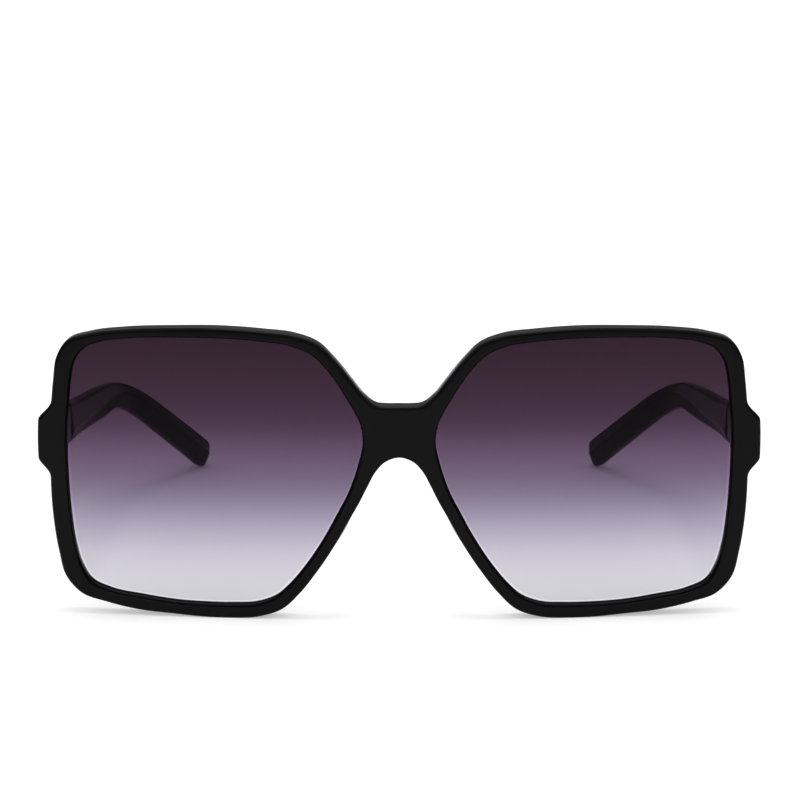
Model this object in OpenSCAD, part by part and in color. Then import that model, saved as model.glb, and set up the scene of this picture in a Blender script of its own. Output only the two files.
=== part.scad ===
// Oversized sunglasses, open, standing on the two rims and the two temple tips.
// +X is the wearer's left, the front looks towards -Y, the temples run back along +Y and +Z is up.

/* [Lenses] */
// Width of each lens opening
lens_w = 61.6; // [56:0.2:66]
// Height of each lens opening
lens_h = 56; // [50:0.5:60]
// Thickness of each lens
lens_t = 2; // [1.6:0.1:2.4]
// Radius of the wide curve that the front and the lenses follow
front_r = 450; // [350:10:800]

/* [Front frame] */
// Narrowest distance between the two lens openings
bridge_gap = 14.6; // [13:0.2:18]
// Height of the bridge, from its upper to its lower edge
bridge_h = 10.4; // [8:0.2:12]
// Width of the rim above each lens
rim_top_w = 2.3; // [2:0.1:3.5]
// Width of the rim below each lens
rim_bottom_w = 3; // [2.4:0.1:4.5]
// Width of the rim beside each lens, on the temple side
rim_side_w = 3.6; // [3:0.1:5]
// Width of the rim beside each lens, on the nose side
rim_nose_w = 2.8; // [2.4:0.1:3.4]
// Thickness of the lip in front of each lens
front_lip_t = 1.6; // [1.2:0.1:2.2]
// Thickness of the lip behind each lens
back_lip_t = 0.9; // [0.7:0.1:1.6]
// Depth of the groove that holds each lens
groove_d = 0.9; // [0.6:0.1:1.1]
// How far the back lip keeps outside the opening, so that it stays out of sight
back_lip_step = 0.5; // [0:0.1:0.5]
// Width of the slope from the rim's face down to the lens
bevel_w = 0.9; // [0.5:0.1:1.1]
// Rounding of the rim's outer edges
rim_round = 0.65; // [0.3:0.05:0.8]
// How far the moulded nose pads stand behind the rim
pad_d = 3.2; // [1:0.1:5]
// How far the moulded nose pads lean into the nose gap
pad_lean = 0.9; // [0:0.1:1.5]

/* [End pieces] */
// Height of each end piece, where the temple butts against it
lug_h = 11; // [10.5:0.1:13]
// How far each end piece stands out beside its rim
lug_out = 2.5; // [2.2:0.05:4]
// How far each end piece narrows from its face back to its square end
lug_draft = 0.7; // [0:0.1:1]
// Height of the hinge's middle above the ground
hinge_z = 37.5; // [34:0.1:40]
// Depth of each end piece, from the rim's face to its square end
lug_depth = 6.5; // [6:0.1:8]

/* [Temples] */
// Length of each temple along its middle line, from its square end to its tip
temple_len = 137; // [128:1:142]
// Height of each temple at its square end
temple_root_h = 10.6; // [10:0.1:12]
// Height of each temple where it bends down behind the ear
temple_bend_h = 6; // [5:0.1:8]
// Height of each temple near its tip
temple_tip_h = 7.2; // [6:0.1:9]
// Thickness of each temple at its square end
temple_root_t = 3.8; // [3.4:0.1:4.4]
// Thickness of each temple near its tip
temple_tip_t = 3.4; // [2.8:0.1:4]
// Length of temple before the ear bend starts
straight_len = 74; // [66:1:82]
// Length over which the ear bend turns down
ear_bend_len = 30; // [20:1:40]
// How far the ear part turns down from the straight part, in degrees
ear_bend = 25; // [20:1:32]
// How far the ear part turns in towards the head, in degrees
ear_turn = 24; // [15:1:28]
// How far the straight part leans in towards the head, in degrees
toe_in = 1; // [0:0.1:2]
// Rounding of each temple's long edges
temple_round = 1.1; // [0.5:0.1:1.5]
// How far the crease on each temple's inner face stands out
crease_d = 0.3; // [0:0.05:0.5]

/* [Hinges] */
// Outer diameter of the hinge barrels
barrel_d = 2.6; // [2.3:0.1:2.8]
// Height of one knuckle with its gap
knuckle_h = 1.4; // [1.2:0.05:1.6]
// Diameter of the hinge screw's shank
screw_d = 1.4; // [1.2:0.1:1.5]
// Diameter of the hinge screw's head
screw_head_d = 2.3; // [2:0.1:2.6]
// Height of the hinge screw's head
screw_head_h = 0.6; // [0.4:0.1:0.8]
// Thickness of the hinge leaves
leaf_t = 1; // [0.8:0.1:1.1]
// Length of the leaf let into each temple
temple_leaf_len = 9; // [6:0.5:12]
// Length of the leaf let into each end piece
front_leaf_len = 2.5; // [2:0.1:3]

/* [Hidden] */

// Colours of the frame and temples, of the lenses and of the hinges
black = "#1b1b1d";
tint = "#8d7c8c";
steel = "#b9bbbf";

// Clearance round each lens in its groove
lens_clear = 0.08;
// Clearance round each hinge leaf in its pocket
leaf_clear = 0.05;
// Clearance of the screw in the knuckles
screw_clear = 0.05;
// Gap between two knuckles
knuckle_gap = 0.1;
// Free space round the barrel and above and below it
barrel_free = 0.35;
// Gap between the end piece and the temple's square end
butt_gap = 0.3;
// Distance from the temple's inner face to the screw's axis
axis_inset = 0.5;
// Step from the end piece's side in to the temple's outer face
side_step = 0.8;
// Height of the temple's middle above the hinge's middle
root_rise = 0.8;
// How far the rims' lowest arcs dip below the ground before they are cut flat
rest_dip = 0.12;
// Height over which the end piece's upper and lower shoulders run out
shoulder_h = 3.6;
// Width and depth of the slot in the screw's head
slot_w = 0.35;
// How far every cut runs past the surface that it cuts
over = 1;
// Rounding of the temple's tip, along its length
tip_round = 3;
// Knuckles of each hinge, counted over both of its leaves
knuckles = 5;
// Places where each nose pad starts and ends, as shares of the lens height
pad_shares = [0.16, 0.47];
// Stretch of the rim, from the nose side, that can carry a pad, as a share of the lens width
pad_reach_share = 0.5;
// Height of the bridge's middle, as a share of the lens height
bridge_mid_share = 0.668;
// Place of a rounded edge's middle point, as a share of its radius
corner_share = 0.3;
// Heights of the temple's inner crease at its root and at the ear bend, as shares of the inner face
crease_shares = [0.12, 0.82];
// Part of the ear bend over which the temple turns in, as a share of the bend's length
ear_turn_share = 0.75;
// Power with which the temple's height falls away from its root
root_flare = 3;
// Steps from one row of the rim's tables to the next
steps = 3;
// Rings along each temple, rings round its tip and points on each rounded corner
temple_rings = 44;
tip_rings = 4;
ring_corner = 3;
// Angle that the rings turn through round the tip
tip_turn = 84;
// First guess of the straight part's slope in degrees, and how often it is bettered
first_slope = 7;
slope_tries = 8;

slot_t = lens_t + 2 * lens_clear;
rim_depth = front_lip_t + slot_t + back_lip_t;
rim_h = rim_bottom_w + lens_h + rim_top_w;
half_gap = bridge_gap / 2;
bridge_z = rim_bottom_w + bridge_mid_share * lens_h;
mid_lens_x = half_gap + lens_w / 2;
half_w = half_gap + lens_w + rim_side_w + lug_out;
mid_z = rim_h / 2;

// Depth of the wide front curve behind its foremost point
function sag(x, z) = front_r - sqrt(front_r * front_r - x * x - (z - mid_z) * (z - mid_z));
function ease(a, b, t) = let (s = min(1, max(0, (t - a) / (b - a)))) s * s * (3 - 2 * s);
function unit(v) = v / norm(v);

// A point of the lens opening, from shares of its width and height
function opening_at(u, v) = [half_gap + u * lens_w, rim_bottom_w + v * lens_h];
// A row of the rim: a point of the opening and, by shares of the rim's widths, the outer point beside it
function rim_row(s) = let (p = opening_at(s[0], s[1]), wx = s[2] < 0 ? rim_nose_w : rim_side_w)
    [p, p + [s[2] * wx, s[3] < 0 ? s[3] * rim_bottom_w : s[3] * rim_top_w]];
// A row of the bridge: its outer point is set by shares of half the bridge's width and height
function bridge_row(s) = [opening_at(s[0], s[1]), [s[2] * half_gap, bridge_z + s[3] * bridge_h / 2]];

arch_shares = [[0, 0.616, 0, -1], [0.005, 0.584, 0.41, -1.21], [0.013, 0.55, 0.67, -1.62]];
rim_shares = [
    [0.028, 0.491, -0.91, -0.5], [0.052, 0.427, -0.82, -0.4], [0.083, 0.359, -0.82, -0.42],
    [0.123, 0.279, -0.82, -0.42], [0.195, 0.157, -0.79, -0.47], [0.255, 0.079, -0.73, -0.63],
    [0.302, 0.032, -0.54, -0.87], [0.36, 0.005, -0.21, -0.95], [0.45, 0, 0, -1],
    [0.54, 0, 0, -0.98], [0.645, 0.006, 0.05, -0.93], [0.758, 0.024, 0.11, -1.03],
    [0.864, 0.045, 0.2, -0.94], [0.925, 0.079, 0.64, -0.93], [0.953, 0.132, 1, -0.8],
    [0.976, 0.214, 1.06, -0.43], [0.99, 0.321, 1.08, -0.07], [0.997, 0.42, 1.03, 0],
    [0.999, 0.482, 1, 0], [1, 0.545, 1, 0], [1, 0.616, 1, 0], [0.997, 0.687, 1, 0],
    [0.991, 0.75, 1, 0], [0.982, 0.84, 1, 0], [0.966, 0.914, 1.03, 0.1],
    [0.935, 0.961, 0.92, 0.43], [0.88, 0.984, 0.53, 0.74], [0.782, 0.996, 0.22, 0.87],
    [0.628, 1, 0.05, 1], [0.466, 1, 0, 1.03], [0.336, 0.995, -0.07, 0.93],
    [0.239, 0.979, -0.36, 0.96], [0.17, 0.946, -0.43, 1.02], [0.118, 0.889, -0.6, 0.87],
    [0.076, 0.827, -0.86, 0.52]
];
notch_shares = [
    [0.049, 0.78, 0.99, 1.35], [0.032, 0.748, 0.66, 1.04], [0.021, 0.725, 0.33, 1], [0.011, 0.702, 0, 1]
];
seam_shares = [0.001, 0.657];

rows = concat(
    [for (s = arch_shares) bridge_row(s)],
    [for (s = rim_shares) rim_row(s)],
    [for (s = notch_shares) bridge_row(s)]
);
opening_knots = concat([for (r = rows) r[0]], [opening_at(seam_shares[0], seam_shares[1])]);
outer_knots = [for (r = rows) r[1]];

// Slope of a smooth curve at b, between its neighbours a and c
function knot_slope(a, b, c) = let (d = norm(b - a), e = norm(c - b))
    ((b - a) * e / d + (c - b) * d / e) / (d + e);
// Point at t, from 0 to 1, of the smooth curve from b to c
function curve_at(a, b, c, d, t) = let (l = norm(c - b), m = knot_slope(a, b, c), n = knot_slope(b, c, d))
    b * (2 * t * t * t - 3 * t * t + 1) + m * l * (t * t * t - 2 * t * t + t)
    + c * (3 * t * t - 2 * t * t * t) + n * l * (t * t * t - t * t);

knots = len(opening_knots);
outer_n = (knots - 2) * steps + 1;
opening = [
    for (i = [0 : knots - 1], j = [0 : steps - 1])
        curve_at(opening_knots[(i + knots - 1) % knots], opening_knots[i],
            opening_knots[(i + 1) % knots], opening_knots[(i + 2) % knots], j / steps)
];
stations = len(opening);

function mirrored(p) = [-p[0], p[1]];
ghosted = concat([mirrored(outer_knots[1])], outer_knots, [mirrored(outer_knots[len(outer_knots) - 2])]);
outer_plain = concat(
    [
        for (i = [1 : len(outer_knots) - 1], j = [0 : steps - 1])
            curve_at(ghosted[i - 1], ghosted[i], ghosted[i + 1], ghosted[i + 2], j / steps)
    ],
    [outer_knots[len(outer_knots) - 1]]
);

// The end piece swells out over its own height, with a shoulder above and below
function lug_swell(p) = p[0] < mid_lens_x ? 0
    : ease(hinge_z - lug_h / 2 - shoulder_h / 2, hinge_z - lug_h / 2 + shoulder_h / 2, p[1])
        * (1 - ease(hinge_z + lug_h / 2 - shoulder_h / 2, hinge_z + lug_h / 2 + shoulder_h / 2, p[1]));
// The nose pad swells back over a stretch of the nose side
function pad_swell(p) = p[0] > half_gap + pad_reach_share * lens_w ? 0
    : let (t = (p[1] / lens_h - pad_shares[0]) / (pad_shares[1] - pad_shares[0]))
        t <= 0 || t >= 1 ? 0 : pow(sin(180 * t), 2);

// The lowest stretch of the rim sinks a little, so that the ground cuts a flat there
function dipped(p) = [p[0], p[1] - rest_dip * (1 - ease(0, rim_bottom_w, p[1]))];
outer_line = [for (p = outer_plain) dipped([p[0] + lug_out * lug_swell(p), p[1]])];

function opening_out(i) = let (t = opening[(i + 1) % stations] - opening[(i + stations - 1) % stations])
    unit([t[1], -t[0]]);
function outer_in(i) = i == 0 ? [0, 1] : i == outer_n - 1 ? [0, -1]
    : let (t = outer_line[i + 1] - outer_line[i - 1]) unit([-t[1], t[0]]);

// A point of the front's surface, set back from the wide curve by depth
function on_front(p, depth) = [p[0], sag(p[0], p[1]) + depth, p[1]];

// Section of the rim at station i, from its outer wall over the face, lens groove and back
function rim_section(i) = let (
    seam = i >= outer_n,
    f = (i - outer_n + 1) / (stations - outer_n + 1),
    o = seam ? outer_knots[len(outer_knots) - 1] * (1 - f) + outer_knots[0] * f : outer_line[i],
    n = seam ? [0, 0] : outer_in(i),
    p = opening[i],
    q = opening_out(i),
    swell = lug_swell(o),
    pad = seam ? 0 : pad_swell(o),
    back = rim_depth + swell * (lug_depth + over - rim_depth) + pad * pad_d,
    lean = n * (lug_draft * swell - pad_lean * pad)
) [
    on_front(o, rim_round),
    on_front(o + n * rim_round * corner_share, rim_round * corner_share),
    on_front(o + n * rim_round, 0),
    on_front(p + q * bevel_w, 0),
    on_front(p, front_lip_t),
    on_front(p + q * groove_d, front_lip_t),
    on_front(p + q * groove_d, front_lip_t + slot_t),
    on_front(p + q * back_lip_step, front_lip_t + slot_t),
    on_front(p + q * back_lip_step, rim_depth - rim_round * corner_share),
    on_front(p + q * (back_lip_step + rim_round * corner_share), rim_depth),
    on_front(o + n * rim_round + lean, back),
    on_front(o + n * rim_round * corner_share + lean, back - rim_round * corner_share),
    on_front(o + lean, back - rim_round)
];
rim_sections = [for (i = [0 : stations - 1]) rim_section(i)];
section_n = len(rim_sections[0]);

// Cells of the ring that lie in the plane where the two halves meet, and so are left out
function in_seam(i, j) = i >= outer_n - 1 && (j <= 1 || j >= section_n - 3);

function half_faces(base, flip) = [
    for (i = [0 : stations - 1], j = [0 : section_n - 1])
        if (!in_seam(i, j))
            let (
                k = (i + 1) % stations,
                m = (j + 1) % section_n,
                a = base + i * section_n + j,
                b = base + k * section_n + j,
                c = base + k * section_n + m,
                d = base + i * section_n + m
            )
            each flip ? [[a, b, c], [a, c, d]] : [[a, c, b], [a, d, c]]
];

module front_shell() {
    right = [for (s = rim_sections) each s];
    left = [for (p = right) [-p[0], p[1], p[2]]];
    polyhedron(concat(right, left), concat(half_faces(0, false), half_faces(len(right), true)), convexity = 8);
}

// Places that the hinge shares with the end piece and the temple
temple_out_x = half_w - side_step;
temple_in_x = temple_out_x - temple_root_t;
axis_x = temple_in_x + axis_inset;
barrel_r = barrel_d / 2;
barrel_h = knuckles * knuckle_h;
butt_y = sag(half_w, hinge_z) + lug_depth;
root_y = butt_y + butt_gap;
axis_y = butt_y + butt_gap / 2;
free_r = barrel_r + barrel_free;
free_h = barrel_h + 2 * (screw_head_h + barrel_free);
leaf_x = axis_x - leaf_t / 2;

module sided(side) {
    mirror([side < 0 ? 1 : 0, 0, 0])
        children();
}

// Cut off the end piece: all behind its square end, the barrel's free space and the leaf's pocket
module end_piece_cuts() {
    translate([mid_lens_x, butt_y, 0])
        cube([half_w, lug_depth, rim_h]);
    translate([mid_lens_x, axis_y - free_r, hinge_z - lug_h])
        cube([axis_x + free_r - mid_lens_x, free_r + lug_depth, 2 * lug_h]);
    translate([leaf_x - leaf_clear, axis_y - free_r - front_leaf_len - leaf_clear, hinge_z - barrel_h / 2 - leaf_clear])
        cube([leaf_t + 2 * leaf_clear, front_leaf_len + leaf_clear + over, barrel_h + 2 * leaf_clear]);
}

module front_frame() {
    color(black)
    translate([0, -mid_y, 0])
    difference() {
        front_shell();
        translate([-half_w - over, -over, -over])
            cube([2 * (half_w + over), butt_y + lug_depth, over]);
        for (side = [-1, 1])
            sided(side)
                end_piece_cuts();
    }
}

// The lens fills its opening out into the groove, less a clearance all round
module lens(side) {
    edge = [for (i = [0 : stations - 1]) opening[i] + opening_out(i) * (groove_d - lens_clear)];
    front = front_r + front_lip_t + lens_clear;
    color(tint, 0.75)
    translate([0, -mid_y, 0])
    sided(side)
    difference() {
        intersection() {
            translate([0, sag(half_w, 0) + rim_depth, 0])
                rotate([90, 0, 0])
                    linear_extrude(sag(half_w, 0) + rim_depth)
                        polygon(edge);
            translate([0, front, mid_z])
                sphere(front_r, $fn = 360);
        }
        translate([0, front + lens_t, mid_z])
            sphere(front_r, $fn = 360);
    }
}

// One knuckle of the hinge, with the arm that ties it to its leaf at distance reach
module knuckle(i, reach, back) {
    low = hinge_z - barrel_h / 2 + i * knuckle_h + knuckle_gap / 2;
    translate([axis_x, axis_y, low])
        cylinder(h = knuckle_h - knuckle_gap, d = barrel_d, $fn = 48);
    translate([leaf_x, back ? axis_y - reach : axis_y, low])
        cube([leaf_t, reach, knuckle_h - knuckle_gap]);
}

module screw_bore() {
    translate([axis_x, axis_y, hinge_z - barrel_h / 2 - over])
        cylinder(h = barrel_h + 2 * over, d = screw_d + 2 * screw_clear, $fn = 48);
}

module front_hinge(side) {
    color(steel)
    translate([0, -mid_y, 0])
    sided(side)
    difference() {
        union() {
            for (i = [0 : 2 : knuckles - 1])
                knuckle(i, free_r + leaf_t, true);
            translate([leaf_x, axis_y - free_r - front_leaf_len, hinge_z - barrel_h / 2])
                cube([leaf_t, front_leaf_len, barrel_h]);
        }
        screw_bore();
    }
}

module temple_hinge(side) {
    color(steel)
    translate([0, -mid_y, 0])
    sided(side)
    difference() {
        union() {
            for (i = [1 : 2 : knuckles - 2])
                knuckle(i, free_r + leaf_t, false);
            translate([leaf_x, axis_y + free_r, hinge_z - barrel_h / 2])
                cube([leaf_t, temple_leaf_len, barrel_h]);
        }
        screw_bore();
    }
}

module hinge_screw(side) {
    top = hinge_z + barrel_h / 2 - knuckle_gap / 2;
    color(steel)
    translate([0, -mid_y, 0])
    sided(side)
    difference() {
        union() {
            translate([axis_x, axis_y, hinge_z - barrel_h / 2 + knuckle_gap / 2])
                cylinder(h = barrel_h - knuckle_gap, d = screw_d, $fn = 48);
            translate([axis_x, axis_y, top])
                cylinder(h = screw_head_h, d = screw_head_d, $fn = 48);
        }
        translate([axis_x - screw_head_d, axis_y - slot_w / 2, top + screw_head_h - slot_w])
            cube([2 * screw_head_d, slot_w, slot_w + over]);
    }
}

// The temple's middle line: at distance t it turns down by drop_at and in by turn_at
bend_end = straight_len + ear_bend_len;
ring_at = concat(
    [for (i = [0 : temple_rings - 1]) (temple_len - tip_round) * i / (temple_rings - 1)],
    [for (i = [1 : tip_rings]) temple_len - tip_round + tip_round * sin(tip_turn * i / tip_rings)]
);
rings = len(ring_at);
function drop_at(t) = ear_bend * ease(straight_len, bend_end, t);
function turn_at(t) = ear_turn * ease(straight_len, straight_len + ear_turn_share * ear_bend_len, t);
function temple_step(slope, t) = let (a = slope + drop_at(t), b = toe_in + turn_at(t))
    [-sin(b) * cos(a), cos(b) * cos(a), -sin(a)];
function temple_line(slope, i = 0, p = [0, 0, 0]) = i == rings - 1 ? [p]
    : concat([p], temple_line(slope, i + 1,
        p + temple_step(slope, (ring_at[i] + ring_at[i + 1]) / 2) * (ring_at[i + 1] - ring_at[i])));

function temple_h(t) = t < bend_end
    ? temple_bend_h + (temple_root_h - temple_bend_h) * pow(max(0, 1 - t / bend_end), root_flare)
        + (temple_tip_h - temple_bend_h) * ease(straight_len, temple_len, t)
    : temple_bend_h + (temple_tip_h - temple_bend_h) * ease(straight_len, temple_len, t);
function temple_t(t) = temple_root_t + (temple_tip_t - temple_root_t) * t / temple_len;
function tip_scale(t) = t <= temple_len - tip_round ? 1
    : sqrt(1 - pow((t - temple_len + tip_round) / tip_round, 2));

// Rounded section of the temple, as offsets out and up from its middle line
function temple_section(t) = let (
    w = temple_t(t) / 2,
    h = temple_h(t) / 2,
    s = tip_scale(t),
    r = min(temple_round, w),
    k = 1 - (1 - s) * w / h,
    crease = crease_shares[0] + (crease_shares[1] - crease_shares[0]) * min(1, t / straight_len)
) [
    for (c = [0 : 3], a = [0 : ring_corner - 1])
        let (
            turn = 90 * c + 90 * a / (ring_corner - 1),
            sx = c == 0 || c == 3 ? 1 : -1,
            sy = c < 2 ? 1 : -1
        )
        each concat(
            [[s * (sx * (w - r) + r * cos(turn)), k * (sy * (h - r) + r * sin(turn))]],
            c == 1 && a == ring_corner - 1
                ? [[-s * (w + crease_d), k * (h - r) * (1 - 2 * (1 - crease))]] : []
        )
];

function temple_ring(line, i) = let (
    t = ring_at[i],
    tilt = drop_at(t),
    yaw = turn_at(t),
    out = [cos(yaw), sin(yaw), 0],
    up = [-sin(yaw) * sin(tilt), cos(yaw) * sin(tilt), cos(tilt)]
) [for (p = temple_section(t)) line[i] + out * p[0] + up * p[1]];

root_z = hinge_z + root_rise;
function lowest(slope) = let (line = temple_line(slope))
    root_z + min([for (i = [floor(rings / 2) : rings - 1], p = temple_ring(line, i)) p[2]]);
// Slope of the straight part at which the tip just touches the ground
function rest_slope(slope, n) = n == 0 ? slope
    : rest_slope(slope + lowest(slope) / temple_len * 180 / PI, n - 1);
temple_slope = rest_slope(first_slope, slope_tries);
temple_rest_line = temple_line(temple_slope);
temple_points = [
    for (i = [0 : rings - 1], p = temple_ring(temple_rest_line, i))
        [temple_out_x - temple_root_t / 2, root_y, root_z] + p
];
ring_n = len(temple_section(0));

front_y = min([for (s = rim_sections, p = s) p[1]]);
back_y = max([for (p = temple_points) p[1]]);
mid_y = (front_y + back_y) / 2;

module temple_bar() {
    ends = [[for (j = [ring_n - 1 : -1 : 0]) j], [for (j = [0 : ring_n - 1]) (rings - 1) * ring_n + j]];
    sides = [
        for (i = [0 : rings - 2], j = [0 : ring_n - 1])
            let (m = (j + 1) % ring_n, a = i * ring_n, b = a + ring_n)
            each [[a + j, b + m, b + j], [a + j, a + m, b + m]]
    ];
    polyhedron(temple_points, concat(ends, sides), convexity = 4);
}

module temple(side) {
    color(black)
    translate([0, -mid_y, 0])
    sided(side)
    difference() {
        temple_bar();
        translate([temple_in_x - over, root_y - over, hinge_z - free_h / 2])
            cube([axis_x + free_r - temple_in_x + over, axis_y + free_r - root_y + over, free_h]);
        translate([temple_in_x - over, axis_y + free_r - over, hinge_z - barrel_h / 2 - leaf_clear])
            cube([leaf_x + leaf_t + leaf_clear - temple_in_x + over, temple_leaf_len + leaf_clear + over,
                barrel_h + 2 * leaf_clear]);
    }
}

echo(mid_y = mid_y, axis = [axis_x, axis_y - mid_y, hinge_z], slope = temple_slope, back = back_y - front_y,
    butt = butt_y - mid_y, half_w = half_w, rim_h = rim_h);

front_frame();
lens(1);  // lens_left
lens(-1);  // lens_right
front_hinge(1);  // front_hinge_left
front_hinge(-1);  // front_hinge_right
hinge_screw(1);  // hinge_screw_left
hinge_screw(-1);  // hinge_screw_right
temple(1);  // temple_left
temple(-1);  // temple_right
temple_hinge(1);  // temple_hinge_left
temple_hinge(-1);  // temple_hinge_right
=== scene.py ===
"""Oversized squared sunglasses, open, standing on both rims and both temple tips.

+X is the wearer's left, the front looks towards -Y, the temples run back along +Y and +Z is up.
Sizes in the classes are millimetres, and every mesh is written in metres.
"""

import logging
import math
from dataclasses import dataclass, field, replace
from enum import Enum
from functools import cached_property

import bmesh
import bpy
import numpy as np
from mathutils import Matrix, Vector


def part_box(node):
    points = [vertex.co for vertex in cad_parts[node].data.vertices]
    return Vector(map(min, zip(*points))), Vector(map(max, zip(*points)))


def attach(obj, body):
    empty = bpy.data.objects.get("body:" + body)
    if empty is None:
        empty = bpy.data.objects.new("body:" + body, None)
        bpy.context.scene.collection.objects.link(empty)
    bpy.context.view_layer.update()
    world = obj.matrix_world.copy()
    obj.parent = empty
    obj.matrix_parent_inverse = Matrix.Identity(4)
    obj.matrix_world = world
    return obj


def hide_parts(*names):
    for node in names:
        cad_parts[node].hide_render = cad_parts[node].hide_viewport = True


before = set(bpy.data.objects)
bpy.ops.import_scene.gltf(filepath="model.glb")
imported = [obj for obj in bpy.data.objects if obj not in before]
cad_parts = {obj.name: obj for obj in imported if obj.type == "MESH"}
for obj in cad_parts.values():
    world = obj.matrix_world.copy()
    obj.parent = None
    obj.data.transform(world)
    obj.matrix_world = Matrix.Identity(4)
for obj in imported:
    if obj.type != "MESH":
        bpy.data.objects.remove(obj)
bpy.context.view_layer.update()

LOG = logging.getLogger("sunglasses")
MM = 0.001
MERGE_M = 1e-6
NOISE_SPAN = (0.3, 0.7)
RANGE_SOCKETS = ("Value", "From Min", "From Max", "To Min", "To Max")
# Vertex attribute that marks the band of painted glint beside each lens's rim.
GLINT_BAND = "painted_glint_band"

Socket = bpy.types.NodeSocket
Span = tuple[float, float]
Box = tuple[tuple[float, float, float], tuple[float, float, float]]
Colour = tuple[float, float, float, float]
Row = tuple[float, np.ndarray, float, np.ndarray]


class Side(Enum):
    """The wearer's side that a piece belongs to, and its sign along X."""

    LEFT = 1
    RIGHT = -1

    @property
    def word(self) -> str:
        """The side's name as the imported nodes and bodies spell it."""
        return self.name.lower()


class Slot(Enum):
    """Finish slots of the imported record."""

    PLASTIC = "black_plastic"
    LENS = "gradient_lens"
    STEEL = "hinge_steel"


# ---- curves ----


def ease(start: float, end: float, t: np.ndarray) -> np.ndarray:
    """Smooth step: 0 up to start, 1 from end on, and 3 s^2 - 2 s^3 between.

    Args:
        start: Where the rise begins.
        end: Where the rise ends.
        t: Places to read.

    Returns:
        The rise at each place, from 0 to 1.
    """
    s = np.clip((np.asarray(t, float) - start) / (end - start), 0, 1)
    return s * s * (3 - 2 * s)


def unit(v: np.ndarray) -> np.ndarray:
    """Each vector along the last axis, divided by its length."""
    return v / np.linalg.norm(v, axis=-1, keepdims=True)


def knot_slope(before: np.ndarray, at: np.ndarray, after: np.ndarray) -> np.ndarray:
    """Slope of the smooth curve at each knot.

    It is the mean of the slopes of the knot's two chords, each weighted by the other's length.

    Args:
        before: Knots before, one row each.
        at: The knots.
        after: Knots after.

    Returns:
        One slope a knot, per unit of length.
    """
    d = np.linalg.norm(at - before, axis=1, keepdims=True)
    e = np.linalg.norm(after - at, axis=1, keepdims=True)
    return ((at - before) * e / d + (after - at) * d / e) / (d + e)


def smooth_curve(knots: np.ndarray, steps: int, closed: bool) -> np.ndarray:
    """Points of a smooth curve through knots: a cubic on each chord, with the knots' slopes.

    Args:
        knots: Knots in order. An open curve has an extra one at each end, which only sets a slope.
        steps: Points for each chord.
        closed: True if the last knot joins the first.

    Returns:
        The points, one row each. An open curve ends with its last real knot.
    """
    if closed:
        a, b, c, d = (np.roll(knots, k, axis=0) for k in (1, 0, -1, -2))
    else:
        a, b, c, d = knots[:-3], knots[1:-2], knots[2:-1], knots[3:]
    length = np.linalg.norm(c - b, axis=1, keepdims=True)[:, None]
    m = knot_slope(a, b, c)[:, None] * length
    n = knot_slope(b, c, d)[:, None] * length
    t = (np.arange(steps) / steps)[None, :, None]
    b, c = b[:, None], c[:, None]
    points = (
        b * (2 * t**3 - 3 * t**2 + 1)
        + m * (t**3 - 2 * t**2 + t)
        + c * (3 * t**2 - 2 * t**3)
        + n * (t**3 - t**2)
    ).reshape(-1, 2)
    return points if closed else np.vstack([points, knots[-2]])


def quarter(radius: float, count: int) -> tuple[np.ndarray, np.ndarray]:
    """A quarter round from a wall to a face, at equal angles.

    Args:
        radius: Radius of the round.
        count: Points on it.

    Returns:
        The distances in from the wall and the depths below the face.
    """
    angle = np.linspace(0, math.pi / 2, count)
    return radius * (1 - np.cos(angle)), radius * (1 - np.sin(angle))


# ---- meshes ----


def ring_quads(rows: int, columns: int, closed_rows: bool = True) -> np.ndarray:
    """Faces of a grid whose columns close on themselves: cell (i, j) joins rows i and i + 1.

    Args:
        rows: Rows of points.
        columns: Points in a row.
        closed_rows: True if the last row joins the first.

    Returns:
        Four indices a face, shaped (rows or rows - 1, columns, 4).
    """
    i = np.arange(rows if closed_rows else rows - 1)[:, None]
    j = np.arange(columns)[None, :]
    k, m = (i + 1) % rows, (j + 1) % columns
    return np.stack([i * columns + j, k * columns + j, k * columns + m, i * columns + m], axis=-1)


def make_piece(name: str, points: np.ndarray, faces: list[list[int]]) -> bpy.types.Object:
    """A mesh object from points in millimetres, with its place in its mesh.

    Args:
        name: Name of the piece.
        points: One row a vertex.
        faces: Vertex indices of each face, counter-clockwise from outside.

    Returns:
        The new object, linked to the scene.
    """
    mesh = bpy.data.meshes.new(name)
    mesh.from_pydata((points * MM).tolist(), [], faces)
    piece = bpy.data.objects.new(name, mesh)
    bpy.context.scene.collection.objects.link(piece)
    return piece


def weld(piece: bpy.types.Object) -> None:
    """Merges vertices that share a place, and turns every face outwards.

    Args:
        piece: The piece, whose mesh is changed.
    """
    work = bmesh.new()
    work.from_mesh(piece.data)
    bmesh.ops.remove_doubles(work, verts=work.verts, dist=MERGE_M)
    bmesh.ops.recalc_face_normals(work, faces=work.faces)
    work.to_mesh(piece.data)
    work.free()


def carve(piece: bpy.types.Object, boxes: list[Box]) -> None:
    """Cuts boxes out of a closed piece.

    Args:
        piece: The piece, which keeps its name and place.
        boxes: Lowest and highest corner of each box, in millimetres.
    """
    corner = np.array([[x, y, z] for x in (0, 1) for y in (0, 1) for z in (0, 1)], float)
    sides = [[0, 1, 3, 2], [4, 6, 7, 5], [0, 4, 5, 1], [2, 3, 7, 6], [0, 2, 6, 4], [1, 5, 7, 3]]
    for low, high in boxes:
        low, high = np.array(low, float), np.array(high, float)
        cutter = make_piece("cutter", low + corner * (high - low), sides)
        cut = piece.modifiers.new("cut", "BOOLEAN")
        cut.operation, cut.solver, cut.object = "DIFFERENCE", "EXACT", cutter
        bpy.context.view_layer.update()
        carved = bpy.data.meshes.new_from_object(
            piece.evaluated_get(bpy.context.evaluated_depsgraph_get())
        )
        piece.modifiers.clear()
        piece.data = carved
        bpy.data.objects.remove(cutter)


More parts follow.
